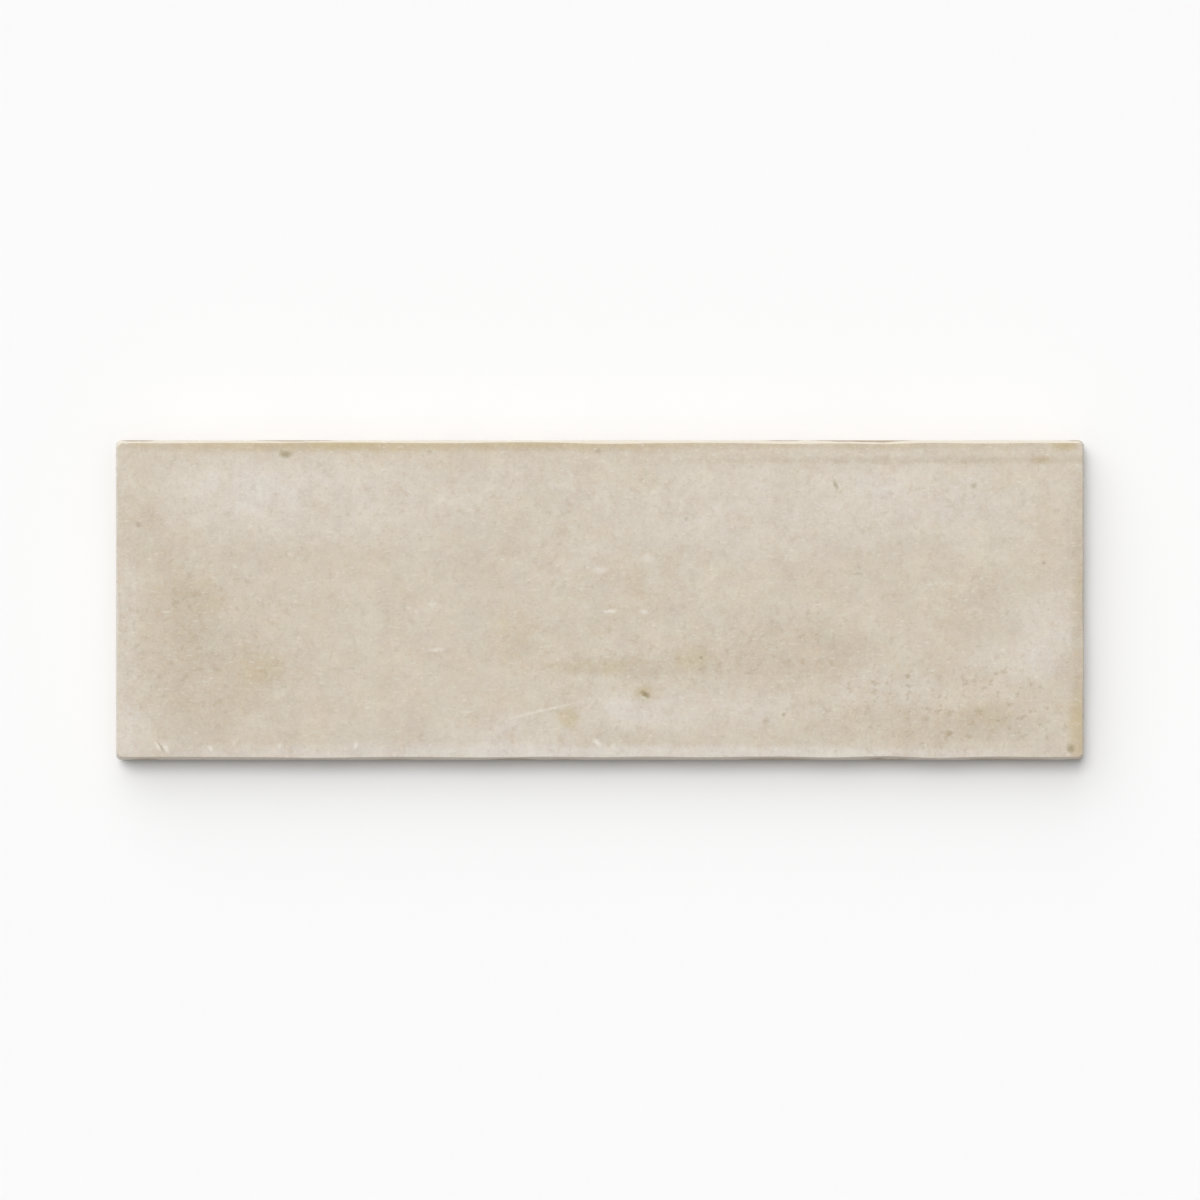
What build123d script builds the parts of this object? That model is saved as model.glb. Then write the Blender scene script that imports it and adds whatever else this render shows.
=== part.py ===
from build123d import *
import math
import os

# A glazed porcelain wall tile, pressed as one piece and fired.
# It lies on its back. The origin is the centre of the back, +Z points out of
# the glazed face and +X runs along the length. All sizes are in millimetres.

# Overall size of the pressed body
tile_length = 200.0
tile_width = 66.0
tile_thickness = 9.0

# Straight wall that the press die leaves around the body
wall_height = 5.4
body_corner_radius = 1.2
back_chamfer = 0.4

# Wavy edge of the glazed face, measured inwards from the straight wall. The
# shoulder leans in to it from the top of the wall.
shoulder_height = 7.4
side_draw_in = 0.52
end_draw_in = 0.42
face_corner_radius = 1.3
wave_depth = 0.2
arris_radius = 0.16

# Glazed face, cushioned towards its rim and gently uneven
cushion_drop = 0.34
cushion_reach = 4.0
roll_height = 0.07
roll_length = 41.0
roll_width = 27.0
roll_shift_x = 5.2
roll_shift_y = 2.6

# Key pattern pressed into the back, so that the adhesive grips
key_depth = 0.6
key_border = 5.0
key_rib = 3.0
key_columns = 10
key_rows = 3
key_corner_radius = 2.0
key_draft = 0.25

# How far each side of the face swings in (+) or out (-) at even steps along
# it, as a share of wave_depth. Every list runs in the +X or +Y direction.
far_wave = [0.2, -0.2, -0.1, -0.5, -0.4, -0.1, 0.0, -0.6, -0.5, 0.7,
            0.3, -0.2, 0.1, 0.8, 0.3, 0.9, -0.3, 0.5, -0.2]
near_wave = [0.2, 0.0, -0.2, -0.7, -0.2, 0.2, -0.3, -0.2, 0.3, -0.2,
             0.4, -0.2, 0.3, 0.4, -0.4, 0.9, -0.8, 0.3, 0.1]
left_wave = [-0.3, -0.5, 0.1, 1.0, 0.3, -0.8, 0.4, -0.4]
right_wave = [0.4, -0.2, -0.5, 0.2, 0.3, -0.2, 0.2, -0.1]

# Spare stock around the block, which the cut of the face removes
spare_height = 1.0
cut_margin = 1.5
surface_columns = 61
surface_rows = 21
surface_tolerance = 0.005


def body_outline(inset=0.0):
    """Rectangle with rounded corners, the plan of the pressed body."""
    return RectangleRounded(tile_length - 2 * inset, tile_width - 2 * inset,
                            body_corner_radius - inset)


def side_spline(start, end, inwards, wave):
    """One wavy side of the face, from start to end, swinging along inwards."""
    start, end, inwards = Vector(start), Vector(end), Vector(inwards)
    along = end - start
    steps = len(wave) + 1
    points = [start]
    for number, share in enumerate(wave, 1):
        points.append(start + along * (number / steps) + inwards * (share * wave_depth))
    points.append(end)
    return Spline(points, tangents=[along, along])


def face_outline(height):
    """Wavy plan of the glazed face, drawn in from the body, at a height."""
    half_x = tile_length / 2 - end_draw_in
    half_y = tile_width / 2 - side_draw_in
    radius = face_corner_radius
    near = side_spline((-half_x + radius, -half_y, height), (half_x - radius, -half_y, height),
                       (0, 1, 0), near_wave)
    right = side_spline((half_x, -half_y + radius, height), (half_x, half_y - radius, height),
                        (-1, 0, 0), right_wave)
    far = side_spline((half_x - radius, half_y, height), (-half_x + radius, half_y, height),
                      (0, -1, 0), far_wave[::-1])
    left = side_spline((-half_x, half_y - radius, height), (-half_x, -half_y + radius, height),
                       (1, 0, 0), left_wave[::-1])
    sides = [near, right, far, left]
    corners = [RadiusArc(one @ 1, two @ 0, -radius) for one, two in zip(sides, sides[1:] + sides[:1])]
    edges = [edge for pair in zip(sides, corners) for edge in pair]
    return make_face(edges)


def rim_share(distance, half_size):
    """Share of the cushion's fall at a distance from the middle: 1 at the side."""
    return math.cosh(distance / cushion_reach) / math.cosh(half_size / cushion_reach)


def face_height(x, y):
    """Height of the glazed face: level, lower at the rim, with long low rolls."""
    rim = rim_share(x, tile_length / 2) + rim_share(y, tile_width / 2)
    roll_x = math.cos(2 * math.pi * (x + roll_shift_x) / roll_length)
    roll_y = math.cos(2 * math.pi * (y - roll_shift_y) / roll_width)
    return tile_thickness - roll_height - cushion_drop * rim + roll_height * roll_x * roll_y


def spread(number, count, half_size):
    """Place of one of count lines across a size, closer together near its ends."""
    turn = math.pi * (number / (count - 1) - 0.5)
    return (half_size + cut_margin) * math.sin(turn)


def above_face():
    """Everything over the glazed face, to be cut away from the block."""
    points = []
    for column in range(surface_columns):
        x = spread(column, surface_columns, tile_length / 2)
        line = []
        for row in range(surface_rows):
            y = spread(row, surface_rows, tile_width / 2)
            line.append((x, y, face_height(x, y)))
        points.append(line)
    surface = Face.make_surface_from_array_of_points(points, tol=surface_tolerance)
    return Solid.extrude(surface, Vector(0, 0, tile_thickness))


def key_pockets():
    """Shallow pockets with drafted walls, in even rows across the back."""
    pocket_x = (tile_length - 2 * key_border - (key_columns - 1) * key_rib) / key_columns
    pocket_y = (tile_width - 2 * key_border - (key_rows - 1) * key_rib) / key_rows
    mouth = RectangleRounded(pocket_x, pocket_y, key_corner_radius)
    floor = RectangleRounded(pocket_x - 2 * key_draft, pocket_y - 2 * key_draft,
                             key_corner_radius - key_draft)
    pocket = loft([mouth.face(), (Pos(0, 0, key_depth) * floor).face()], ruled=True)
    grid = GridLocations(pocket_x + key_rib, pocket_y + key_rib, key_columns, key_rows)
    return [place * pocket for place in grid]


def pressed_block():
    """Body before its face is cut: foot, straight wall, leaning shoulder, wavy edge."""
    foot_plan = body_outline(back_chamfer)
    wall_plan = Pos(0, 0, back_chamfer) * body_outline()
    shoulder_plan = Pos(0, 0, wall_height) * body_outline()
    face_plan = face_outline(shoulder_height)
    foot = loft([foot_plan.face(), wall_plan.face()], ruled=True)
    wall = extrude(wall_plan, wall_height - back_chamfer)
    shoulder = loft([shoulder_plan.face(), face_plan.face()], ruled=True)
    edge = extrude(face_plan, tile_thickness + spare_height - shoulder_height)
    return foot + wall + shoulder + edge


def tile():
    """The whole tile as one solid, with a rounded arris around its face."""
    block = pressed_block() - above_face()
    glazed_face = block.faces().sort_by(Axis.Z)[-1]
    block = fillet(glazed_face.edges(), arris_radius)
    return block - key_pockets()


os.makedirs("parts", exist_ok=True)
solid = tile()
solid.label = "tile"
export_step(solid, "parts/tile.step")
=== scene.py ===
import math

import bpy
import numpy as np
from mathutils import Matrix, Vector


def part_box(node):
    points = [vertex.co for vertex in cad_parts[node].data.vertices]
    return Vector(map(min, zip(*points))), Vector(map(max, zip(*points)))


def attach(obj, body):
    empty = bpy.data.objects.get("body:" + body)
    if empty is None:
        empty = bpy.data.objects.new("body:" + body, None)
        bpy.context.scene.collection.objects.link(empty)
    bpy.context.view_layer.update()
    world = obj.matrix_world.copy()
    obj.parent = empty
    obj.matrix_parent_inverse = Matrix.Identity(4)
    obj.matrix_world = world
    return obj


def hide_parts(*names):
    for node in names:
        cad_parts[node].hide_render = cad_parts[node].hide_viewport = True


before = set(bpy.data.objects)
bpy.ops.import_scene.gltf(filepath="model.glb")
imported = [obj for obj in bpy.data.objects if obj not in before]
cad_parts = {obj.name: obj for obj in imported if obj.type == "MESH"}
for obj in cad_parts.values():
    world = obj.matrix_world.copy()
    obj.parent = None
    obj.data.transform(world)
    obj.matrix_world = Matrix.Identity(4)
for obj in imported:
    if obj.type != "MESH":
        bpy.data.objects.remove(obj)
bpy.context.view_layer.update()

# A glazed porcelain wall tile that lies on its back, seen from straight above.
# Every length is in metres unless its name or comment says millimetres.
bl_info = {
    "name": "Glazed porcelain tile",
    "version": (1, 0, 0),
    "blender": (4, 5, 0),
    "location": "View3D > Sidebar > Tile",
    "description": "Presses, glazes and lights one wall tile with a handmade look",
    "category": "Add Mesh",
}

MM = 0.001
# Light on a level face, as a share of what would show a white one as white, and
# the gloss that the satin glaze adds to it.
FACE_LIGHT = 1.067
GLOSS_VEIL = 0.03
TILE_LOW, TILE_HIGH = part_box("tile")
TILE_LENGTH = TILE_HIGH[0] - TILE_LOW[0]
TILE_WIDTH = TILE_HIGH[1] - TILE_LOW[1]
TILE_THICKNESS = TILE_HIGH[2] - TILE_LOW[2]

# How far each side of the face swings in (+) or out (-) at even steps along
# it, as a share of the wave depth. Every list runs in the +X or +Y direction.
FAR_WAVE = [0.2, -0.2, -0.1, -0.5, -0.4, -0.1, 0.0, -0.6, -0.5, 0.7,
            0.3, -0.2, 0.1, 0.8, 0.3, 0.9, -0.3, 0.5, -0.2]
NEAR_WAVE = [0.2, 0.0, -0.2, -0.7, -0.2, 0.2, -0.3, -0.2, 0.3, -0.2,
             0.4, -0.2, 0.3, 0.4, -0.4, 0.9, -0.8, 0.3, 0.1]
LEFT_WAVE = [-0.3, -0.5, 0.1, 1.0, 0.3, -0.8, 0.4, -0.4]
RIGHT_WAVE = [0.4, -0.2, -0.5, 0.2, 0.3, -0.2, 0.2, -0.1]

# Along and out of each side: near, right, far and left, which is anticlockwise
SIDES = [((1, 0), (0, -1)), ((0, 1), (1, 0)), ((-1, 0), (0, 1)), ((0, -1), (-1, 0))]
# Distance above the end of the glaze that stands for a place well inside it, in millimetres
WELL_GLAZED = 9.0

# Soft flat-topped patches of the glaze in millimetres: x, y, reach along x,
# reach along y and strength. Pale is thick and milky, deep is thin and darker,
# warm is tinted with ochre, flecked has more dark flecks. The long deep strip at
# y 28.75 mm is painted shade on the falling side of the pressed line.
PALE_PATCHES = [
    (-57, 20.5, 28, 7, 0.5), (-75, 23.5, 12, 5, 0.36), (-12, 24, 12, 5, 0.25), (46, 20, 36, 8, 0.4),
    (70, 22, 16, 6, 0.2), (10, 10, 22, 9, 0.15), (92.5, -6.5, 5, 7, 0.65), (85, -12.5, 7, 3.5, 0.4),
    (59, -18, 9, 3.6, 0.35), (18, -22.5, 21, 3.4, 0.5), (5, -22.5, 7, 4, 0.25),
    (-18, -27.5, 11, 3.4, 0.5), (-30, -32, 60, 2, 0.75), (35, -31.8, 50, 1.5, 0.7),
    (-97, -27, 4, 5, 0.5), (99.4, 31.4, 1, 1.2, 0.8), (-98, -2, 2.6, 26, 0.25), (-72, 27, 16, 3, 0.15),
]
DEEP_PATCHES = [
    (-79, -15.5, 13, 9, 0.55), (-86, -1, 7, 8, 0.35), (-95, 14, 5, 9, 0.25), (6, -13.8, 16, 2, 0.5),
    (38, -11, 17, 5, 0.35), (48, -7.5, 6, 3, 0.25), (41.5, -15, 5, 2.5, 0.2), (66, -26, 18, 3.4, 0.4),
    (79, -25.5, 5, 3, 0.25), (-15, -8, 4, 4, 0.2), (75, 0, 6, 7, 0.2), (-60, 32.2, 42, 1.5, 0.5),
    (0, 32, 25, 1.4, 0.45), (60, 32.3, 40, 1.1, 0.38), (98.9, -15, 1.6, 18, 0.45),
    # The strip at 60, 28.75 is painted shade along the pressed line's falling side
    (98.8, 12, 1.3, 14, 0.35), (60, 28.75, 42, 0.6, 0.4), (96, 31.7, 2.2, 0.9, 0.5),
    (91, 28.8, 1.8, 0.7, 0.5), (-93, -32, 4.5, 0.9, 0.18),
]
WARM_PATCHES = [
    (-50, 32.2, 40, 1.4, 0.45), (-2, 32, 14, 1.3, 0.25), (-53, 32.4, 6, 1.2, 0.3), (50, 32.3, 45, 1, 0.2),
    (-85.4, 0.8, 6.5, 4.5, 0.17), (-70, -14, 5, 3, 0.2), (-2, -13.8, 9, 1.3, 0.22),
    (19.2, -11.8, 4, 1.9, 0.3), (9.2, -19.3, 2, 1.6, 0.4), (-6.6, -24.2, 2, 1.9, 0.5),
    (98.9, -26, 2, 7, 0.5), (99, 1, 0.9, 5, 0.15), (91, 28.8, 1.9, 0.8, 0.36), (96, 31.7, 2.3, 1, 0.45),
    (80, -23.5, 5, 3, 0.18), (-18.5, -7, 4, 5, 0.16), (-93, -32, 5, 1, 0.05), (10, 3, 12, 6, 0.06),
]
FLECKED_PATCHES = [
    (70, -22, 20, 8, 1.0), (45, -8, 16, 6, 0.6), (-83, -8, 14, 14, 0.7), (15, -13, 22, 5, 0.5),
    (88, -22, 7, 7, 0.6),
]

# Where the glaze ends higher and the body shows under the face's long edges, as patches
BARE_STRETCHES = [
    (-95.5, 33, 3, 1, 1.0), (-62, 33, 7, 1, 1.0), (38, 33, 3, 1, 0.4), (55, 33, 8, 1, 1.0),
    (98.5, 33, 1.5, 1, 0.7), (-94, -33, 2.5, 1, 1.0), (-42.5, -33, 3.5, 1, 0.5),
    (-34.5, -33, 2, 1, 0.5), (-18.5, -33, 4.5, 1, 1.2),
    (-8, -33, 2.5, 1, 0.6), (37.5, -33, 6.5, 1, 0.9), (60, -33, 3.2, 1, 1.1), (78.3, -33, 2.2, 1, 0.9),
    (87, -33, 6, 1, 0.7), (98, -33, 1.5, 1, 0.8),
]

# Marks on the glaze in millimetres and degrees: x, y, half length, half width,
# turn and strength. Specks are dark spots. Glints are raised scars painted pale: partly milky
# glaze and partly a painted highlight.
SPECKS = [
    (-64.9, 30.0, 1.25, 0.75, 0, 0.62), (9.3, -19.4, 1.0, 0.6, -35, 0.85),
    (-90.5, -30.3, 1.0, 0.22, -58, 0.4), (48.6, 23.8, 1.0, 0.4, -68, 0.5),
    (77.1, 23.6, 0.7, 0.5, 40, 0.4), (97.1, -30.6, 0.85, 0.8, 20, 0.6),
    (-95.2, 15.5, 0.6, 0.5, 0, 0.4), (91.5, 7.6, 0.5, 0.45, 0, 0.4), (53.1, 5.4, 1.0, 0.28, 0, 0.3),
    (17.8, 16.7, 0.45, 0.4, 0, 0.35), (-0.4, 30.8, 0.6, 0.5, 0, 0.3), (-35.1, 30.6, 0.45, 0.4, 0, 0.35),
    (37.8, -23.6, 0.42, 0.36, 0, 0.4), (20.9, -11.9, 0.34, 0.32, 0, 0.55), (75.3, -17.3, 0.6, 0.4, 30, 0.35),
    (78.1, -22.9, 0.8, 0.55, 0, 0.3), (72.1, -27.5, 0.7, 0.5, -20, 0.35),
    (63.4, -15.8, 0.5, 0.34, 90, 0.3), (34.2, -25.0, 0.7, 0.55, 10, 0.3),
    (81.7, -15.2, 0.45, 0.4, 0, 0.3), (67.2, -24.5, 0.9, 0.7, 0, 0.2),
]
GLINTS = [
    (-91.3, -30.1, 1.2, 0.34, -55, 0.7), (-89.5, -30.6, 0.9, 0.5, -62, 0.8),
    (-80.3, -30.6, 0.7, 0.42, -45, 0.8), (-75.4, -29.4, 0.55, 0.45, 10, 0.4),
    (-66.1, -30.1, 0.6, 0.42, 80, 0.5), (-50.4, -30.0, 0.8, 0.45, 75, 0.75),
    (-35.1, -30.1, 0.5, 0.4, 60, 0.4), (-0.6, -29.4, 1.1, 0.5, -40, 0.8), (2.7, -30.1, 0.55, 0.5, 0, 0.45),
    (-27.3, -23.1, 1.3, 0.36, 5, 0.4), (-33.9, -10.3, 1.7, 0.4, 4, 0.5), (-34.7, -0.8, 1.0, 0.36, 0, 0.45),
    (2.1, -2.3, 1.4, 0.4, 3, 0.7), (9.1, -2.4, 1.0, 0.5, -8, 0.5), (9.7, 8.7, 1.3, 1.0, 0, 0.4),
    (0.2, 6.2, 1.6, 0.8, 0, 0.35), (-11.4, -22.7, 7.2, 0.36, 13, 0.4),
]


def shown_as(red, green, blue):
    """The colour that a level surface needs so that the studio's light shows it as screen values.

    Screen values from 0 to 255 are made linear, the gloss over the glaze is taken off, and the
    rest is divided by the light that falls on the face.
    """
    shares = [channel / 255 for channel in (red, green, blue)]
    light = [s / 12.92 if s <= 0.04045 else ((s + 0.055) / 1.055) ** 2.4 for s in shares]
    return tuple(max(value - GLOSS_VEIL, 0.0) / FACE_LIGHT for value in light)


def length_property(name, description, default):
    """A length in metres that the sidebar shows with its unit."""
    return bpy.props.FloatProperty(name=name, description=description, default=default, min=0.0,
                                   precision=5, subtype="DISTANCE", unit="LENGTH")


def colour_property(name, description, default):
    """A linear colour that the sidebar shows as a swatch."""
    return bpy.props.FloatVectorProperty(name=name, description=description, default=default,
                                         min=0.0, max=1.0, size=3, subtype="COLOR")


def share_property(name, description, default, highest=1.0):
    """A plain number from nought to the highest."""
    return bpy.props.FloatProperty(name=name, description=description, default=default,
                                   min=0.0, max=highest, precision=3, subtype="FACTOR")


def strength_property(name, description, default):
    """Strength of a light, nought or more."""
    return bpy.props.FloatProperty(name=name, description=description, default=default, min=0.0)


def angle_property(name, description, degrees):
    """An angle that the sidebar shows in degrees."""
    return bpy.props.FloatProperty(name=name, description=description, default=math.radians(degrees),
                                   subtype="ANGLE", unit="ROTATION")


class PressedFormSettings(bpy.types.PropertyGroup):
    """Sizes of the pressed body and of its glazed face."""
    wall_height: length_property("Wall", "Height of the straight wall that the die leaves", 5.4 * MM)
    shoulder_height: length_property("Shoulder", "Height at which the wavy edge begins", 7.4 * MM)
    foot_chamfer: length_property("Foot chamfer", "Chamfer around the back", 0.4 * MM)
    body_corner: length_property("Body corner", "Radius of the body's corners", 1.2 * MM)
    face_corner: length_property("Face corner", "Radius of the face's corners", 1.3 * MM)
    side_draw_in: length_property("Side draw-in", "How far the face's long sides stand in", 0.52 * MM)
    end_draw_in: length_property("End draw-in", "How far the face's short sides stand in", 0.42 * MM)
    wave_depth: length_property("Wave depth", "Largest swing of the face's edges", 0.2 * MM)
    arris_radius: length_property("Arris", "Radius between the face and its edge", 0.16 * MM)
    cushion_drop: length_property("Cushion drop", "Fall of the face at its rim", 0.34 * MM)
    cushion_reach: length_property("Cushion reach", "How far the fall reaches in", 4.0 * MM)
    roll_height: length_property("Roll height", "Height of the long low rolls", 0.07 * MM)
    roll_length: length_property("Roll length", "Distance between rolls along the tile", 41 * MM)
    roll_width: length_property("Roll width", "Distance between rolls across the tile", 27 * MM)
    roll_shift_x: length_property("Roll shift X", "Shift of the rolls along the tile", 5.2 * MM)
    roll_shift_y: length_property("Roll shift Y", "Shift of the rolls across the tile", 2.6 * MM)
    swell_height: length_property("Swell height", "Height of the face's small swells", 0.016 * MM)
    swell_size: length_property("Swell size", "Distance between small swells", 7 * MM)
    line_inset: length_property("Line inset", "Distance of the pressed line from the far wall", 4.0 * MM)
    line_depth: length_property("Line depth", "Depth of the pressed line", 0.08 * MM)
    pit_depth: length_property("Pit depth", "Depth of the pit under a dark speck", 0.03 * MM)
    glaze_lip: length_property("Glaze lip", "Thickness of the rolled end of the glaze", 0.07 * MM)
    key_depth: length_property("Key depth", "Depth of the pockets in the back", 0.6 * MM)
    key_border: length_property("Key border", "Plain border around the pockets", 5.0 * MM)
    key_rib: length_property("Key rib", "Width of the ribs between pockets", 3.0 * MM)
    key_corner: length_property("Key corner", "Corner radius of a pocket", 2.0 * MM)
    key_draft: length_property("Key draft", "How far a pocket's walls lean in", 0.25 * MM)
    key_columns: bpy.props.IntProperty(name="Key columns", description="Pockets along the back",
                                       default=10, min=1)
    key_rows: bpy.props.IntProperty(name="Key rows", description="Pockets across the back",
                                    default=3, min=1)
    length_steps: bpy.props.IntProperty(name="Length steps", description="Quads along the face",
                                        default=400, min=40)
    width_steps: bpy.props.IntProperty(name="Width steps", description="Quads across the face",
                                       default=132, min=20)


class GlazeSettings(bpy.types.PropertyGroup):
    """Colours and gloss of the glaze and of the bare body."""
    base: colour_property("Glaze", "Main colour of the glaze", shown_as(210, 199, 183))
    pale: colour_property("Milky glaze", "Colour where the glaze lies thick", shown_as(220, 212, 202))
    deep: colour_property("Thin glaze", "Colour where the glaze lies thin", shown_as(195, 181, 161))
    warm: colour_property("Ochre tint", "Colour of the warm stains", shown_as(196, 178, 138))
    fleck: colour_property("Flecks", "Colour of the dark flecks", shown_as(176, 159, 133))
    speck: colour_property("Specks", "Colour of the large specks", shown_as(146, 132, 98))
    # Pale scar colour: partly milky glaze, partly a painted highlight; the pale dashes use it too
    glint: colour_property("Scars", "Colour of the milky scars", shown_as(234, 228, 218))
    # The rim colour is a painted highlight on the arris that faces the lights; the thin glaze colour above
    # also serves as painted shade on the arris away from them
    rim: colour_property("Rim", "Colour where the glaze breaks over the arris", shown_as(241, 233, 216))
    body: colour_property("Bare body", "Colour of the fired body", shown_as(186, 169, 148))
    wash: colour_property("Kiln wash", "Colour of the powder on the ribs", shown_as(222, 213, 200))
    mottle: share_property("Mottle", "Contrast of the fine mottling", 0.42)
    roughness: share_property("Roughness", "Roughness of the glaze", 0.36)
    body_roughness: share_property("Body roughness", "Roughness of the bare body", 0.82)


class StudioSettings(bpy.types.PropertyGroup):
    """Floor, light and camera around the tile."""
    floor: colour_property("Floor", "Colour of the floor", (0.855, 0.855, 0.855))
    floor_size: length_property("Floor size", "Side of the square floor", 20.0)
    overhead_strength: strength_property("Overhead", "Strength of the light above", 1.34)
    overhead_tilt: angle_property("Overhead tilt", "Its angle from straight above", 17.5)
    overhead_size: angle_property("Overhead size", "How wide it looks", 26)
    window_strength: strength_property("Window", "Strength of the wide far light", 1.36)
    window_tilt: angle_property("Window tilt", "Its angle from straight above", 47)
    window_size: angle_property("Window size", "How wide it looks", 70)
    canopy_strength: strength_property("Canopy", "Strength of the widest light", 0.44)
    canopy_tilt: angle_property("Canopy tilt", "Its angle from straight above", 7)
    canopy_size: angle_property("Canopy size", "How wide it looks", 128)
    turn: angle_property("Turn", "How far the lights stand round towards the left", 26)
    room_strength: strength_property("Room", "Light of the pale room", 0.285)
    frame_width: length_property("Picture width", "Width of the picture at the face", 247.4 * MM)
    lens: bpy.props.FloatProperty(name="Lens", description="Focal length in millimetres",
                                  default=200.0, min=1.0)


def wave_curve(shares, place):
    """Clamped cubic spline through evenly spaced values, nought and level at both ends.

    The slopes m at the points solve m[i-1] + 4 m[i] + m[i+1] = 3 (v[i+1] - v[i-1]), with
    no slope at the ends. Between two points runs the Hermite cubic of their values and slopes.
    """
    values = np.array([0.0, *shares, 0.0])
    count = len(values)
    system = np.eye(count) * 4 + np.eye(count, k=1) + np.eye(count, k=-1)
    system[0] = np.eye(count)[0]
    system[-1] = np.eye(count)[-1]
    target = np.zeros(count)
    target[1:-1] = 3 * (values[2:] - values[:-2])
    slopes = np.linalg.solve(system, target)
    reach = np.clip(place, 0, 1) * (count - 1)
    start = np.minimum(reach.astype(int), count - 2)
    t = reach - start
    return ((2 * t**3 - 3 * t**2 + 1) * values[start] + (t**3 - 2 * t**2 + t) * slopes[start]
            + (3 * t**2 - 2 * t**3) * values[start + 1] + (t**3 - t**2) * slopes[start + 1])


def smooth_step(low, high, value):
    """Nought under low, one over high, and 3 t^2 - 2 t^3 between them."""
    t = np.clip((value - low) / (high - low), 0, 1)
    return t * t * (3 - 2 * t)


def lattice_noise(x, y, size, seed):
    """Random values from -1 to 1 on a square lattice, joined by smooth steps in x and y."""
    across = 256
    cells = np.random.default_rng(seed).uniform(-1, 1, (across + 1, across + 1))
    column, row = np.floor(x / size), np.floor(y / size)
    u, v = smooth_step(0, 1, x / size - column), smooth_step(0, 1, y / size - row)
    i, j = column.astype(int) % across, row.astype(int) % across
    low = cells[i, j] * (1 - u) + cells[i + 1, j] * u
    high = cells[i, j + 1] * (1 - u) + cells[i + 1, j + 1] * u
    return low * (1 - v) + high * v


def patch_sum(x, y, patches):
    """Sum of flat-topped patches: each its strength times exp(-((dx/a)^2 + (dy/b)^2)^2 / 2), in mm."""
    total = np.zeros_like(x)
    for centre_x, centre_y, reach_x, reach_y, strength in patches:
        dx = (x / MM - centre_x) / reach_x
        dy = (y / MM - centre_y) / reach_y
        total += strength * np.exp(-(dx**2 + dy**2)**2 / 2)
    return total


def side_steps(count, corner_steps):
    """Steps along one side of a rounded rectangle: the place t on its straight stretch, and the bend.

    The place goes from 0 to 1. The bend goes from -1 to 0 over the first corner steps, which is
    -45 degrees to straight, and from 0 towards 1 over the last.
    """
    step = np.arange(count)
    place = np.clip((step - corner_steps) / (count - 2 * corner_steps), 0, 1)
    bend = np.where(step < corner_steps, step / corner_steps - 1,
                    np.maximum(step - count + corner_steps, 0) / corner_steps)
    return place, bend


class Perimeter:
    """The way round the tile, as four sides of evenly stepped points that meet in the corners.

    Each point has a side, a place t from 0 to 1 along its straight stretch and a turn in the
    corner arc, from -45 degrees at the side's start to +45 degrees at its end.
    """
    corner_steps = 4

    def __init__(self, form):
        self.form = form
        counts = (form.length_steps, form.width_steps)
        waves = [NEAR_WAVE, RIGHT_WAVE, FAR_WAVE[::-1], LEFT_WAVE[::-1]]
        along, out, place, turn, wave, lies = [], [], [], [], [], []
        for number, ((side_along, side_out), shares) in enumerate(zip(SIDES, waves)):
            count = counts[number % 2]
            t, bend = side_steps(count, self.corner_steps)
            along.append(np.tile(side_along, (count, 1)))
            out.append(np.tile(side_out, (count, 1)))
            place.append(t)
            turn.append(bend * math.pi / 4)
            wave.append(wave_curve(shares, t))
            lies.append(np.full(count, number % 2))
        self.along, self.out = np.concatenate(along), np.concatenate(out)
        self.place, self.turn = np.concatenate(place), np.concatenate(turn)
        self.wave, self.lies = np.concatenate(wave), np.concatenate(lies)
        self.outwards = self.along * np.sin(self.turn)[:, None] + self.out * np.cos(self.turn)[:, None]

    def ring(self, half_x, half_y, radius, wave_depth=0.0):
        """Rounded rectangle: straight stretches joined by arcs, with the waves on the straights."""
        half_along = np.where(self.lies == 0, half_x, half_y) - radius
        half_out = np.where(self.lies == 0, half_y, half_x) - radius
        forward = half_along * (2 * self.place - 1) + radius * np.sin(self.turn)
        outward = half_out + radius * np.cos(self.turn) - self.wave * wave_depth
        return self.along * forward[:, None] + self.out * outward[:, None]

    def body_ring(self, inset=0.0):
        """Plan of the straight body."""
        radius = self.form.body_corner - inset
        return self.ring(TILE_LENGTH / 2 - inset, TILE_WIDTH / 2 - inset, radius)

    def face_ring(self, inset=0.0):
        """Wavy plan of the face's edge, or the same line further in."""
        form = self.form
        half_x = TILE_LENGTH / 2 - form.end_draw_in - inset
        half_y = TILE_WIDTH / 2 - form.side_draw_in - inset
        return self.ring(half_x, half_y, form.face_corner - inset, form.wave_depth)


def face_height(form, x, y):
    """Height of the face as pressed: level, with a cosh fall to the rim and crossed cosine rolls."""
    reach = form.cushion_reach
    rim = np.cosh(x / reach) / math.cosh(TILE_LENGTH / 2 / reach)
    rim += np.cosh(y / reach) / math.cosh(TILE_WIDTH / 2 / reach)
    rolls = np.cos(2 * np.pi * (x + form.roll_shift_x) / form.roll_length)
    rolls *= np.cos(2 * np.pi * (y - form.roll_shift_y) / form.roll_width)
    return TILE_THICKNESS - form.roll_height - form.cushion_drop * rim + form.roll_height * rolls


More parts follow.
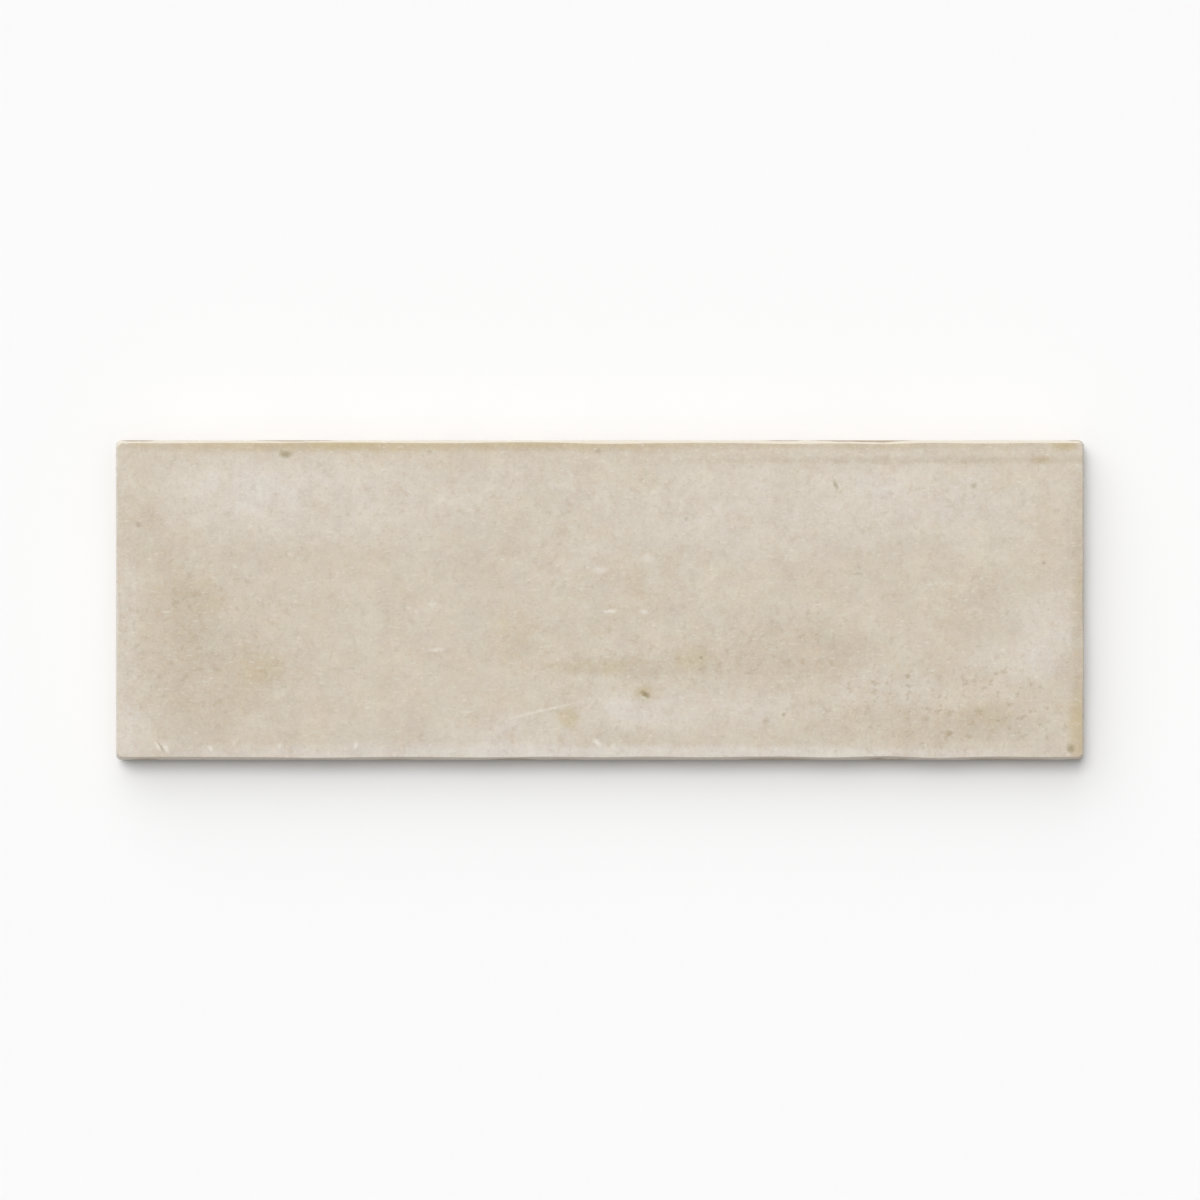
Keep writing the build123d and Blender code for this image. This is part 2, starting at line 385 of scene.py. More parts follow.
def glaze_relief(form, x, y):
    """Fine relief: two sizes of swell, the pressed line, pits under the specks, rises at the scars.

    The pressed line falls by a smooth step over 0.9 mm just inside the far rim and comes back up
    over the next 5 mm. It deepens from the middle of the tile towards the right end. The last
    scar is a long scratch, which has no rise.
    """
    swell = lattice_noise(x, y, form.swell_size, 3) * form.swell_height
    swell += lattice_noise(x, y, form.swell_size / 3, 4) * form.swell_height / 4
    wander_step, wander_reach = 11 * MM, 0.12 * MM
    line_start, line_full = 2 * MM, 60 * MM
    wander = lattice_noise(x, y * 0, wander_step, 5) * wander_reach
    below = (TILE_WIDTH / 2 - form.line_inset + wander - y) / MM
    line = smooth_step(-0.45, 0.45, below) * (1 - smooth_step(0.6, 6.0, below))
    line *= smooth_step(line_start, line_full, x) * form.line_depth
    pit_share, scar_share = 0.8, 1.6
    pits = patch_sum(x, y, [(s[0], s[1], s[2] * pit_share, s[3] * pit_share, s[5]) for s in SPECKS])
    scars = patch_sum(x, y, [(s[0], s[1], s[3] * scar_share, s[3] * scar_share, s[5])
                             for s in GLINTS[:-1]])
    return swell - line - pits * form.pit_depth + scars * form.pit_depth / 2


def face_grid(form, perimeter):
    """Grid of the face inside the arris: a Coons patch between the four sides of its rim.

    Each point is the blend of the near and far sides plus the blend of the left and right
    sides, less the blend of the four corners. Returns the points and the numbers of the rim.
    """
    columns, rows = form.length_steps, form.width_steps
    lean = form.cushion_drop / form.cushion_reach
    rim = perimeter.face_ring(form.arris_radius * (1 - math.sin(lean)))
    near = rim[:columns + 1]
    right = rim[columns:columns + rows + 1]
    far = rim[columns + rows:2 * columns + rows + 1][::-1]
    left = np.vstack([rim[2 * columns + rows:], rim[:1]])[::-1]
    u = ((near[:, 0] - near[0, 0]) / (near[-1, 0] - near[0, 0]))[:, None, None]
    v = ((left[:, 1] - left[0, 1]) / (left[-1, 1] - left[0, 1]))[None, :, None]
    across = (1 - v) * near[:, None] + v * far[:, None]
    upward = (1 - u) * left[None] + u * right[None]
    corners = ((1 - u) * (1 - v) * near[0] + u * (1 - v) * near[-1]
               + (1 - u) * v * far[0] + u * v * far[-1])
    plan = (across + upward - corners).reshape(-1, 2)
    number = np.arange((columns + 1) * (rows + 1)).reshape(columns + 1, rows + 1)
    loop = np.concatenate([number[:-1, 0], number[-1, :-1], number[:0:-1, -1], number[0, :0:-1]])
    quads = np.stack([number[:-1, :-1], number[1:, :-1], number[1:, 1:], number[:-1, 1:]], -1)
    x, y = plan[:, 0], plan[:, 1]
    height = face_height(form, x, y) + glaze_relief(form, x, y)
    height = np.minimum(height, TILE_THICKNESS)
    return np.column_stack([plan, height]), loop, quads.reshape(-1, 4), lean


def side_rings(form, perimeter, rim_height, lean):
    """Rings from the arris down to the foot: for every rim point a plan, a height and a rim share.

    The arris is a quarter round from the face's lean to upright, the shoulder a straight
    blend of the wavy plan into the body's plan, then come the wall and the foot's chamfer. Over
    the arris the rim share goes from nought to how far a point faces the lights at the far left:
    one paints a milky highlight on the lit side, minus one paints shade in the thin glaze's
    colour on the side away from the lights. It fades down the wall.
    """
    radius = form.arris_radius
    # The rim share is painted light: a highlight on the arris that faces the lights, shade on the arris away
    # from them
    towards_lights = (-0.35, 0.95)
    painted_light_share = perimeter.outwards @ towards_lights
    paint_start, paint_full = math.radians(8), math.radians(40)
    rings = []
    for angle in np.linspace(lean, math.pi / 2, 9)[1:]:
        plan = perimeter.face_ring(radius * (1 - math.sin(angle)))
        height = rim_height - radius * (math.cos(lean) - math.cos(angle))
        rings.append((plan, height, painted_light_share * smooth_step(paint_start, paint_full, angle)))
    edge_plan = perimeter.face_ring()
    edge_top = rings[-1][1]
    for share in (0.5, 1.0):
        rings.append((edge_plan, edge_top * (1 - share) + form.shoulder_height * share, painted_light_share))
    body_plan = perimeter.body_ring()
    level = np.ones(len(rim_height))
    for share in np.linspace(0, 1, 10)[1:]:
        height = form.shoulder_height * (1 - share) + form.wall_height * share
        rings.append((edge_plan * (1 - share) + body_plan * share, level * height, painted_light_share))
    for share in (0.06, 0.2, 0.4, 0.6, 0.8, 0.97, 1.0):
        height = form.wall_height * (1 - share) + form.foot_chamfer * share
        rings.append((body_plan, level * height, painted_light_share * (1 - smooth_step(0, 0.6, share))))
    for share in (0.1, 0.9, 1.0, 1.3):
        plan = perimeter.body_ring(form.foot_chamfer * share)
        height = form.foot_chamfer * max(1 - share, 0.0)
        rings.append((plan, level * height, painted_light_share * 0))
    return rings


def glaze_line(perimeter, plan):
    """Height at which the glaze ends on the wall, in metres.

    A mean, higher where the face's edge swings in and along the bare stretches, with wide sags,
    a ragged line and short drips. These three fade out where the way round starts and ends.
    """
    x, y = plan[:, 0], plan[:, 1]
    bare = patch_sum(x, y, BARE_STRETCHES)
    mean_height, swing_rise, bare_rise = 5.0 * MM, 0.4 * MM, 1.35 * MM
    join = 12 * MM
    way = np.concatenate([[0], np.cumsum(np.linalg.norm(np.diff(plan, axis=0), axis=1))])
    sag = lattice_noise(way, way * 0, 17 * MM, 11) * 0.25 * MM
    ragged = lattice_noise(way, way * 0, 2.3 * MM, 12) * 0.22 * MM
    drips = smooth_step(0.45, 0.95, lattice_noise(way, way * 0, 5.5 * MM, 13)) * 1.3 * MM
    fade = smooth_step(0, join, np.minimum(way, way[-1] - way))
    return mean_height + swing_rise * perimeter.wave + bare_rise * bare + (sag + ragged - drips) * fade


def key_back(form):
    """The back's ribs and pockets as one patch of equal cells, merged where they meet.

    A cell is a rectangle of rib, a rounded mouth, a drafted wall with softened edges and a level
    floor, each a ring of the same number of points, about a fan of triangles. Returns the points,
    the quads, the triangles and the numbers of the patch's rim. Points that round to the same
    steps are merged; a shift keeps them off the border between two steps.
    """
    pocket = np.array([(TILE_LENGTH - 2 * form.key_border - (form.key_columns - 1) * form.key_rib)
                       / form.key_columns,
                       (TILE_WIDTH - 2 * form.key_border - (form.key_rows - 1) * form.key_rib)
                       / form.key_rows])
    half = pocket / 2
    pitch = pocket + form.key_rib
    corner_steps, straight_steps = 4, 4
    per_side = 2 * corner_steps + straight_steps
    t, bend = side_steps(per_side, corner_steps)
    least_radius = 0.5 * MM

    def cell_ring(inset, height, square=False):
        points = []
        for number, (along, out) in enumerate(SIDES):
            swap = number % 2
            radius = max(form.key_corner - inset, least_radius)
            run = half[swap] - inset - radius
            rise = half[1 - swap] - inset - radius
            forward = run * (2 * t - 1) + radius * np.sin(bend * math.pi / 4)
            outward = rise + radius * np.cos(bend * math.pi / 4)
            if square:
                forward = run * (2 * t - 1) + bend * (pitch[swap] / 2 - run)
                outward = np.full(per_side, pitch[1 - swap] / 2)
            plan = np.outer(forward, along) + np.outer(outward, out)
            points.append(np.column_stack([plan, np.full(per_side, height)]))
        return np.concatenate(points)

    slope = form.key_draft / form.key_depth
    soft = 0.1 * MM
    floor_border = 2.5 * MM
    depth = form.key_depth
    profile = [(-soft, 0.0), (slope * soft * 0.4, soft * 0.4), (slope * soft * 1.5, soft * 1.5),
               (slope * (depth - soft), depth - soft), (form.key_draft + soft, depth),
               (form.key_draft + floor_border, depth)]
    rings = [cell_ring(0.0, 0.0, True)] + [cell_ring(inset, height) for inset, height in profile]
    count = 4 * per_side
    cell = np.concatenate(rings + [[[0.0, 0.0, depth]]])
    ring_quads = strip_quads(np.arange(count * len(rings)).reshape(len(rings), count))
    last = count * (len(rings) - 1) + np.arange(count)
    centre = np.full(count, count * len(rings))
    fan = np.stack([np.roll(last, -1), last, centre], -1)
    column = np.arange(form.key_columns) - (form.key_columns - 1) / 2
    row = np.arange(form.key_rows) - (form.key_rows - 1) / 2
    places = np.stack(np.meshgrid(column * pitch[0], row * pitch[1], indexing="ij"), -1).reshape(-1, 2)
    shift = np.column_stack([places, np.zeros(len(places))])
    points = (cell[None] + shift[:, None]).reshape(-1, 3)
    offset = (np.arange(len(places)) * len(cell))[:, None, None]
    quads = (ring_quads[None] + offset).reshape(-1, 4)
    triangles = (fan[None] + offset).reshape(-1, 3)
    merge_step = MM * 1e-4
    off_the_border = 0.137
    keys = np.round(points / merge_step + off_the_border).astype(np.int64)
    _, first, merged = np.unique(keys, axis=0, return_index=True, return_inverse=True)
    merged = merged.reshape(-1)
    points = points[first]
    half = np.abs(points[:, :2]).max(axis=0)
    rim = np.flatnonzero(np.isclose(np.abs(points[:, :2]), half, rtol=0, atol=1e-8).any(axis=1))
    rim = rim[np.argsort(way_round(points[rim]))]
    return points, merged[quads], merged[triangles], rim


def way_round(points):
    """Share of the way round a rectangle, by the angle once its half sizes are made equal."""
    half = np.abs(points[:, :2]).max(axis=0)
    angle = np.arctan2(points[:, 1] / half[1], points[:, 0] / half[0])
    return (angle / (2 * math.pi)) % 1


def strip_quads(rings):
    """Quads between neighbouring rings of equal size, closed round."""
    upper, lower = rings[:-1], rings[1:]
    return np.stack([lower, np.roll(lower, -1, axis=1), np.roll(upper, -1, axis=1), upper],
                    -1).reshape(-1, 4)


def stitch_loops(first, second, points):
    """Triangles that face down between an outer and an inner loop, both anticlockwise.

    Both loops are ordered by their share of the way round from the middle of the right end.
    Each step on either loop makes a triangle with the latest point of the other loop.
    """
    share_a, share_b = way_round(points[first]), way_round(points[second])
    first, share_a = np.roll(first, -share_a.argmin()), np.roll(share_a, -share_a.argmin())
    second, share_b = np.roll(second, -share_b.argmin()), np.roll(share_b, -share_b.argmin())
    next_a, next_b = np.append(share_a[1:], 1 + share_a[0]), np.append(share_b[1:], 1 + share_b[0])
    steps = np.argsort(np.concatenate([next_a, next_b]), kind="stable")
    on_first = steps < len(first)
    at_a = np.concatenate([[0], np.cumsum(on_first)[:-1]])
    at_b = np.concatenate([[0], np.cumsum(~on_first)[:-1]])
    size_a, size_b = len(first), len(second)
    moved = np.where(on_first, first[(at_a + 1) % size_a], second[(at_b + 1) % size_b])
    return np.stack([second[at_b % size_b], moved, first[at_a % size_a]], -1)


def glazed_sides(form, perimeter, rings):
    """Side rings as points, with the rolled lip of the glaze, and their distance above its end.

    Outwards goes the lip's thickness times a smooth rise just over the glaze's end and a slow
    fall above it. No point leaves the straight body's plan. The distance is in millimetres.
    """
    line = glaze_line(perimeter, perimeter.body_ring())
    room = np.array([TILE_LENGTH, TILE_WIDTH]) / 2
    points, above_line = [], []
    for plan, height, _ in rings:
        above = (height - line) / MM
        lip = smooth_step(0, 0.16, above) * (1 - smooth_step(0.25, 1.2, above)) * form.glaze_lip
        plan = np.clip(plan + perimeter.outwards * lip[:, None], -room, room)
        points.append(np.column_stack([plan, height]))
        above_line.append(above)
    return np.concatenate(points), np.concatenate(above_line)


def fill_mesh(name, points, quads, triangles):
    """Closed mesh from whole arrays of points, quads and triangles."""
    mesh = bpy.data.meshes.new(name)
    corners = np.concatenate([quads.ravel(), triangles.ravel()]).astype(np.int32)
    starts = np.concatenate([np.arange(len(quads)) * 4,
                             len(quads) * 4 + np.arange(len(triangles)) * 3]).astype(np.int32)
    mesh.vertices.add(len(points))
    mesh.vertices.foreach_set("co", points.astype(np.float32).ravel())
    mesh.loops.add(len(corners))
    mesh.loops.foreach_set("vertex_index", corners)
    mesh.polygons.add(len(starts))
    mesh.polygons.foreach_set("loop_start", starts)
    mesh.update(calc_edges=True)
    if mesh.validate():
        raise RuntimeError(f"{name} had faces that Blender could not keep")
    mesh.shade_smooth()
    return mesh


def write_attribute(mesh, name, values):
    """One number for each point of the mesh, for the materials to read."""
    attribute = mesh.attributes.new(name, "FLOAT", "POINT")
    attribute.data.foreach_set("value", values.astype(np.float32))


def tile_mesh(form):
    """The whole closed tile: face grid, side rings, and the back with its ribs and pockets.

    The milky patches lose most of their strength down the shoulder by a smooth step in height.
    """
    perimeter = Perimeter(form)
    face, loop, face_quads, lean = face_grid(form, perimeter)
    rings = side_rings(form, perimeter, face[loop, 2], lean)
    sides, above_line = glazed_sides(form, perimeter, rings)
    back, back_quads, back_triangles, back_rim = key_back(form)
    ring_numbers = len(face) + np.arange(len(sides)).reshape(len(rings), len(loop))
    side_quads = strip_quads(np.vstack([loop[None], ring_numbers]))
    shift = len(face) + len(sides)
    points = np.concatenate([face, sides, back])
    border = stitch_loops(ring_numbers[-1], back_rim + shift, points)
    quads = np.concatenate([face_quads, side_quads, back_quads + shift])
    triangles = np.concatenate([back_triangles + shift, border])
    mesh = fill_mesh("glazed_tile", points, quads, triangles)
    x, y = points[:, 0], points[:, 1]
    least_milky = 0.3
    raised = smooth_step(form.wall_height + MM, form.shoulder_height + MM, points[:, 2])
    milky = least_milky + (1 - least_milky) * raised
    write_attribute(mesh, "pale", patch_sum(x, y, PALE_PATCHES) * milky)
    for name, patches in (("deep", DEEP_PATCHES), ("warm", WARM_PATCHES), ("flecked", FLECKED_PATCHES)):
        write_attribute(mesh, name, patch_sum(x, y, patches))
    # The rim share carries a painted highlight on the arris facing the lights and painted shade on the arris
    # away from them
    rim = np.concatenate([share for _, _, share in rings])
    write_attribute(mesh, "rim", np.concatenate([np.zeros(len(face)), rim, np.zeros(len(back))]))
    glazed, bare = np.full(len(face), WELL_GLAZED), np.full(len(back), -WELL_GLAZED)
    write_attribute(mesh, "above_glaze_end", np.concatenate([glazed, above_line, bare]))
    return mesh


class NodeBench:
    """Lays out shader nodes: any input takes a number, a colour or another node's output."""

    def __init__(self, tree):
        self.tree = tree
        tree.nodes.clear()

    def add(self, kind, inputs=None, output=0, **settings):
        """One node with its settings and inputs; gives back an output, or the node for None."""
        node = self.tree.nodes.new(kind)
        for name, value in settings.items():
            setattr(node, name, value)
        for key, source in (inputs or {}).items():
            if isinstance(source, bpy.types.NodeSocket):
                self.tree.links.new(source, node.inputs[key])
            elif source is not None:
                node.inputs[key].default_value = source
        return node if output is None else node.outputs[output]

    def calc(self, operation, first, second=None, third=None, clamp=False):
        """Arithmetic on two or three numbers."""
        values = {number: value for number, value in enumerate((first, second, third))
                  if value is not None}
        return self.add("ShaderNodeMath", values, operation=operation, use_clamp=clamp)

    def blend(self, share, first, second, blend_type="MIX"):
        """Mix of two colours."""
        colours = [(*c, 1) if isinstance(c, tuple) and len(c) == 3 else c for c in (first, second)]
        return self.add("ShaderNodeMix", {0: share, 6: colours[0], 7: colours[1]}, 2,
                        data_type="RGBA", blend_type=blend_type)

    def scaled(self, vector, share):
        """A place or a colour times one number."""
        return self.add("ShaderNodeVectorMath", {0: vector, 3: share}, operation="SCALE")

    def step(self, value, low, high, start=0.0, end=1.0):
        """Smooth step of a value from low to high, which never leaves start and end."""
        return self.add("ShaderNodeMapRange", {0: value, 1: low, 2: high, 3: start, 4: end},
                        interpolation_type="SMOOTHSTEP", clamp=False)

    def noise(self, place, size, detail, roughness, output=0):
        """Fractal noise whose largest lumps have a size in millimetres."""
        return self.add("ShaderNodeTexNoise", {"Vector": place, "Scale": 1 / size, "Detail": detail,
                                               "Roughness": roughness, "Lacunarity": 2.0}, output)

    def swing(self, place, size, detail, roughness):
        """Fractal noise about nought."""
        return self.calc("SUBTRACT", self.noise(place, size, detail, roughness), 0.5)

    def attribute(self, name):
        """A number written on the mesh."""
        return self.add("ShaderNodeAttribute", output=2, attribute_name=name)

    def marks(self, place, marks):
        """Largest of many soft-edged ellipses, each of its own strength."""
        total = None
        for x, y, half_length, half_width, turn, strength in marks:
            local = self.add("ShaderNodeMapping", {
                "Vector": place, "Location": (x, y, 0), "Rotation": (0, 0, math.radians(turn)),
                "Scale": (half_length, half_width, 1)}, vector_type="TEXTURE")
            reach = self.add("ShaderNodeVectorMath", {0: local}, 1, operation="LENGTH")
            mark = self.step(reach, 0.2, 1.55, strength, 0.0)
            total = mark if total is None else self.calc("MAXIMUM", total, mark)
        return total


def glaze_material(look):
    """Satin glaze over a buff body.

    The glaze's colour is its main colour, moved towards milky, thin and ochre by the soft
    patches and by fractal noise of equal strength from 6.5 mm down to 0.2 mm, with grain, flecks,
    specks and scars over it; the scars' pale colour is partly a painted highlight. The arris has a
    painted highlight on the side that faces the lights and painted shade on the side away from
    them. It thins to brown at its ragged end, and below that the bare body shows.
    """
    material = bpy.data.materials.new("glazed_porcelain")
    material.use_nodes = True
    bench = NodeBench(material.node_tree)
    place = bench.add("ShaderNodeTexCoord", output=3)
    place = bench.scaled(place, 1 / MM)
    flat = bench.add("ShaderNodeVectorMath", {0: place, 1: (1, 1, 0)}, operation="MULTIPLY")
    colour, height, roughness = glaze_coat(bench, look, place, flat)
    body_colour, body_height = bare_body(bench, look, place)
    ragged = bench.swing(place, 0.55, 3, 0.6)
    above = bench.calc("MULTIPLY_ADD", ragged, 0.5, bench.attribute("above_glaze_end"))
    covered = bench.step(above, -0.04, 0.04)
    thin = bench.step(above, 0.0, 0.55, 0.8, 0.0)
    colour = bench.blend(thin, colour, bench.blend(0.6, colour, tuple(look.body), "MULTIPLY"))
    colour = bench.blend(covered, body_colour, colour)
    roughness = bench.add("ShaderNodeMix", {0: covered, 2: look.body_roughness, 3: roughness})
    height = bench.add("ShaderNodeMix", {0: covered, 2: body_height, 3: height})
    bump = bench.add("ShaderNodeBump", {"Strength": 1.0, "Distance": MM, "Height": height})
    surface = bench.add("ShaderNodeBsdfPrincipled", {"Base Color": colour, "Roughness": roughness,
                                                     "IOR": 1.5, "Normal": bump})
    bench.add("ShaderNodeOutputMaterial", {"Surface": surface}, output=None)
    return material


def glaze_coat(bench, look, place, flat):
    """Colour, height in millimetres and roughness of the glaze itself."""
    cloud_swing, tint_swing, peel_height = 1.7, 1.0, 0.011
    painted_highlight_rim, painted_shade_rim = 0.7, -0.9
    mottle = bench.noise(place, 6.5, 5, 0.98, output=1)
    fields = bench.add("ShaderNodeSeparateColor", {0: mottle}, output=None)
    light, tint, cloud = (bench.calc("SUBTRACT", socket, 0.5) for socket in fields.outputs)
    milky = bench.calc("MULTIPLY_ADD", cloud, cloud_swing, bench.attribute("pale"), clamp=True)
    thin = bench.calc("MULTIPLY_ADD", cloud, -cloud_swing, bench.attribute("deep"), clamp=True)
    ochre = bench.calc("MULTIPLY_ADD", tint, tint_swing, bench.attribute("warm"), clamp=True)
    colour = bench.blend(milky, tuple(look.base), tuple(look.pale))
    colour = bench.blend(thin, colour, tuple(look.deep))
    colour = bench.blend(ochre, colour, tuple(look.warm))
    value = bench.calc("MULTIPLY_ADD", light, look.mottle, 1.0)
    colour = bench.scaled(colour, value)
    shift = bench.add("ShaderNodeCombineXYZ", {
        0: bench.calc("MULTIPLY_ADD", tint, look.mottle * 0.16, 1.0),
        1: bench.calc("MULTIPLY_ADD", cloud, look.mottle * 0.28, 1.0),
        2: bench.calc("MULTIPLY_ADD", tint, look.mottle * -0.24, 1.0)})
    colour = bench.add("ShaderNodeVectorMath", {0: colour, 1: shift}, operation="MULTIPLY")
    colour = bench.blend(pale_dashes(bench, place), colour, tuple(look.glint))
    colour = bench.blend(fine_flecks(bench, place), colour, tuple(look.fleck))
    sway = bench.noise(place, 0.7, 2, 0.6, output=1)
    sway = bench.add("ShaderNodeVectorMath", {0: sway, 1: (0.5, 0.5, 0.5)}, operation="SUBTRACT")
    sway = bench.scaled(sway, 0.9)
    wavy = bench.add("ShaderNodeVectorMath", {0: flat, 1: sway}, operation="ADD")
    wavy = bench.add("ShaderNodeVectorMath", {0: wavy, 1: (1, 1, 0)}, operation="MULTIPLY")
    specks = bench.marks(wavy, SPECKS)
    glints = bench.marks(wavy, GLINTS)
    # Painted highlight on the arris that faces the lights (rim colour), painted shade on the arris away from
    # them (thin glaze colour)
    rim = bench.attribute("rim")
    colour = bench.blend(bench.calc("MULTIPLY", rim, painted_highlight_rim, clamp=True), colour, tuple(look.rim))
    colour = bench.blend(bench.calc("MULTIPLY", rim, painted_shade_rim, clamp=True), colour, tuple(look.deep))
    colour = bench.blend(specks, colour, tuple(look.speck))
    # Scars painted pale: partly milky glaze, partly a painted highlight
    colour = bench.blend(glints, colour, tuple(look.glint))
    peel = bench.noise(place, 2.2, 3, 0.45)
    height = bench.calc("MULTIPLY", peel, peel_height)
    roughness = bench.calc("MULTIPLY_ADD", light, 0.5, look.roughness)
    roughness = bench.calc("MULTIPLY_ADD", specks, 0.15, roughness)
    rim_gloss = bench.calc("MULTIPLY", bench.calc("ABSOLUTE", rim), -0.16)
    roughness = bench.calc("ADD", rim_gloss, roughness, clamp=True)
    return colour, height, roughness


def pale_dashes(bench, place):
    """Share of milky grain: short dashes that lie along the tile, and smaller round spots."""
    dash_strength, spot_strength = 0.36, 0.22
    drawn = bench.add("ShaderNodeVectorMath", {0: place, 1: (0.34, 1, 1)}, operation="MULTIPLY")
    dashes = bench.step(bench.noise(drawn, 0.55, 2, 0.55), 0.6, 0.74)
    spots = bench.step(bench.noise(place, 0.6, 2, 0.6), 0.58, 0.74)
    return bench.calc("MAXIMUM", bench.calc("MULTIPLY", dashes, dash_strength),
                      bench.calc("MULTIPLY", spots, spot_strength))


def fine_flecks(bench, place):
    """Share of dark flecks: small soft dots in some cells, and ragged spots, darker where flecked."""
    dot_spacing, dot_strength, spot_strength = 1.7, 0.34, 0.56
    flecked_gain, least = 0.5, 0.4
    cells = bench.add("ShaderNodeTexVoronoi", {"Vector": place, "Scale": 1 / dot_spacing}, output=None)
    near = bench.step(cells.outputs["Distance"], 0.03, 0.32, 1.0, 0.0)
    chosen = bench.add("ShaderNodeSeparateColor", {0: cells.outputs["Color"]})
    dots = bench.calc("MULTIPLY", near, bench.step(chosen, 0.5, 0.95))
    grain = bench.add("ShaderNodeVectorMath", {0: place, 1: (31, 17, 5)}, operation="ADD")
    spots = bench.step(bench.noise(grain, 1.7, 3, 0.7), 0.53, 0.7)
    either = bench.calc("MAXIMUM", bench.calc("MULTIPLY", dots, dot_strength),
                        bench.calc("MULTIPLY", spots, spot_strength))
    amount = bench.calc("MULTIPLY_ADD", bench.attribute("flecked"), flecked_gain, least)
    return bench.calc("MULTIPLY", either, amount, clamp=True)


def bare_body(bench, look, place):
    """Colour and height in millimetres of the bare fired body.

    It has a fine grain, faint clouds and rare dark grains, with pale kiln wash where it stands.
    """
    grain_spacing, grain_height = 1.4, 0.05
    dark_grain = shown_as(92, 70, 54)
    grain = bench.noise(place, 0.9, 4, 0.75)
    shade = bench.calc("MULTIPLY_ADD", bench.calc("SUBTRACT", grain, 0.5), 0.5, 1.0)
    shade = bench.calc("MULTIPLY_ADD", bench.swing(place, 16.0, 2, 0.5), 0.22, shade)
    colour = bench.scaled(tuple(look.body), shade)
    cells = bench.add("ShaderNodeTexVoronoi", {"Vector": place, "Scale": 1 / grain_spacing}, output=None)
    chosen = bench.add("ShaderNodeSeparateColor", {0: cells.outputs["Color"]})
    grains = bench.calc("MULTIPLY", bench.step(cells.outputs["Distance"], 0.03, 0.1, 0.6, 0.0),
                        bench.step(chosen, 0.7, 0.9))
    colour = bench.blend(grains, colour, dark_grain)
    level = bench.add("ShaderNodeSeparateXYZ", {0: place}, output=2)
    rubbed = bench.calc("MULTIPLY", bench.step(level, 0.04, 0.18, 0.75, 0.0),
                        bench.step(bench.noise(place, 3.5, 4, 0.7), 0.36, 0.6))
    colour = bench.blend(rubbed, colour, tuple(look.wash))
    return colour, bench.calc("MULTIPLY", grain, grain_height)


def floor_material(colour):
    """Smooth pale studio floor with a barely visible unevenness."""
    material = bpy.data.materials.new("studio_floor")
    material.use_nodes = True
    bench = NodeBench(material.node_tree)
    place = bench.add("ShaderNodeTexCoord", output=3)
    value = bench.calc("MULTIPLY_ADD", bench.swing(place, 0.09, 2, 0.5), 0.01, 1.0)
    surface = bench.add("ShaderNodeBsdfDiffuse", {"Color": bench.scaled(tuple(colour), value)})
    bench.add("ShaderNodeOutputMaterial", {"Surface": surface}, output=None)
    return material


def add_light(name, strength, tilt, size, turn, glossy=True):
    """A far light that comes from +Y by its tilt from straight above, turned towards -X.

    One that isn't glossy lights the tile but isn't mirrored in its glaze.
    """
    light = bpy.data.lights.new(name, "SUN")
    light.energy = strength
    light.angle = size
    sun = bpy.data.objects.new(name, light)
    sun.rotation_euler = (-tilt, 0.0, turn)
    sun.visible_glossy = glossy
    bpy.context.scene.collection.objects.link(sun)


class PressTile(bpy.types.Operator):
    """Press the tile with its wavy face, its walls and the key pattern in its back"""
    bl_idname = "mesh.press_glazed_tile"
    bl_label = "Press the tile"

    def execute(self, context):
        tile = bpy.data.objects.new("glazed_tile", tile_mesh(context.scene.pressed_form))
        context.scene.collection.objects.link(tile)
        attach(tile, "root")
        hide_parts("tile")
        return {"FINISHED"}


class FireGlaze(bpy.types.Operator):
    """Give the pressed tile its satin glaze and the bare body under it"""
    bl_idname = "material.fire_tile_glaze"
    bl_label = "Fire the glaze"

    def execute(self, context):
        tile = bpy.data.objects["glazed_tile"]
        tile.data.materials.clear()
        tile.data.materials.append(glaze_material(context.scene.glaze_look))
        return {"FINISHED"}


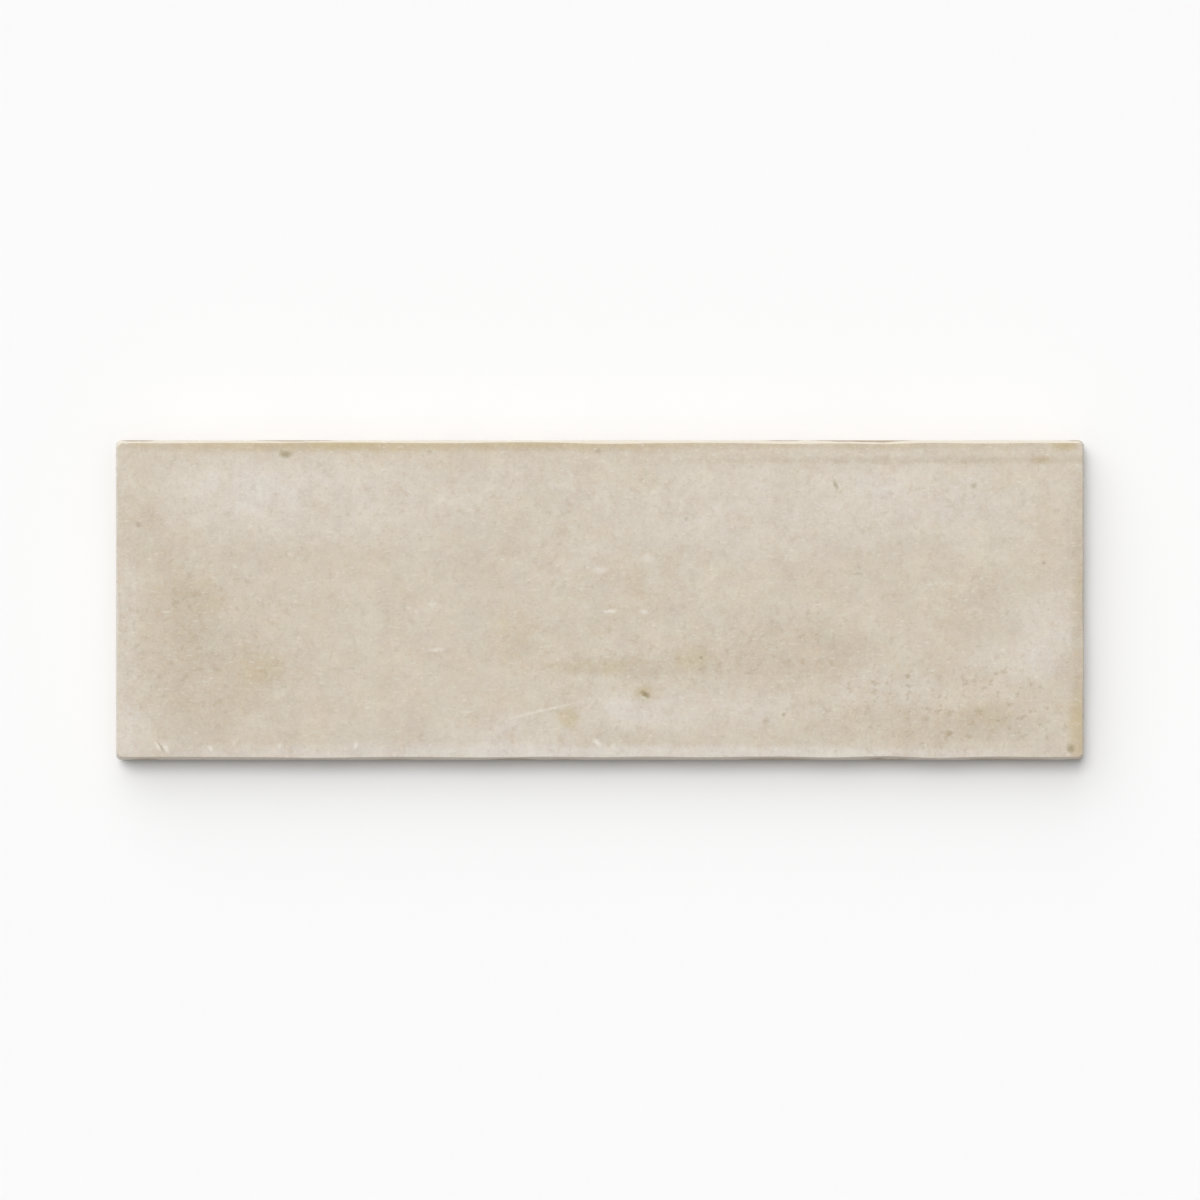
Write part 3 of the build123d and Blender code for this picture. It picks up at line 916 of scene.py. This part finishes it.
class SetStudio(bpy.types.Operator):
    """Lay out the pale floor, the soft light and the camera straight above the tile"""
    bl_idname = "scene.set_tile_studio"
    bl_label = "Set the studio"

    def execute(self, context):
        scene = context.scene
        studio = scene.tile_studio
        half = studio.floor_size / 2
        just_below = -0.02 * MM
        corners = np.array([(-half, -half, just_below), (half, -half, just_below),
                            (half, half, just_below), (-half, half, just_below)])
        no_triangles = np.empty((0, 3), int)
        mesh = fill_mesh("studio_floor", corners, np.arange(4)[None], no_triangles)
        mesh.materials.append(floor_material(studio.floor))
        floor = bpy.data.objects.new("studio_floor", mesh)
        scene.collection.objects.link(floor)
        turn = studio.turn
        add_light("overhead", studio.overhead_strength, studio.overhead_tilt, studio.overhead_size,
                  turn, glossy=False)
        add_light("window", studio.window_strength, studio.window_tilt, studio.window_size, turn)
        add_light("canopy", studio.canopy_strength, studio.canopy_tilt, studio.canopy_size, turn)
        world = bpy.data.worlds.new("pale_room")
        world.use_nodes = True
        background = world.node_tree.nodes["Background"]
        background.inputs["Color"].default_value = (1, 1, 1, 1)
        background.inputs["Strength"].default_value = studio.room_strength
        scene.world = world
        scene.view_settings.view_transform = "Standard"
        lens = bpy.data.cameras.new("above")
        lens.lens = studio.lens
        camera = bpy.data.objects.new("above", lens)
        distance = studio.frame_width * studio.lens / lens.sensor_width
        camera.location = (0.0, 0.0, TILE_THICKNESS + distance)
        scene.collection.objects.link(camera)
        scene.camera = camera
        return {"FINISHED"}


class TilePanel(bpy.types.Panel):
    """Sizes, finish and studio of the tile"""
    bl_idname = "VIEW3D_PT_glazed_tile"
    bl_label = "Glazed tile"
    bl_space_type = "VIEW_3D"
    bl_region_type = "UI"
    bl_category = "Tile"

    def draw(self, context):
        scene = context.scene
        for settings, operator in ((scene.pressed_form, PressTile), (scene.glaze_look, FireGlaze),
                                   (scene.tile_studio, SetStudio)):
            box = self.layout.box()
            for name in settings.__annotations__:
                box.prop(settings, name)
            box.operator(operator.bl_idname)


CLASSES = (PressedFormSettings, GlazeSettings, StudioSettings, PressTile, FireGlaze, SetStudio, TilePanel)


def register():
    """Make the settings, operators and panel known, and hang the settings on the scene."""
    for one in CLASSES:
        bpy.utils.register_class(one)
    bpy.types.Scene.pressed_form = bpy.props.PointerProperty(type=PressedFormSettings)
    bpy.types.Scene.glaze_look = bpy.props.PointerProperty(type=GlazeSettings)
    bpy.types.Scene.tile_studio = bpy.props.PointerProperty(type=StudioSettings)


def unregister():
    """Take the settings, operators and panel away again."""
    del bpy.types.Scene.tile_studio
    del bpy.types.Scene.glaze_look
    del bpy.types.Scene.pressed_form
    for one in reversed(CLASSES):
        bpy.utils.unregister_class(one)


def main():
    register()
    bpy.ops.mesh.press_glazed_tile()
    bpy.ops.material.fire_tile_glaze()
    bpy.ops.scene.set_tile_studio()


if __name__ == "__main__":
    main()
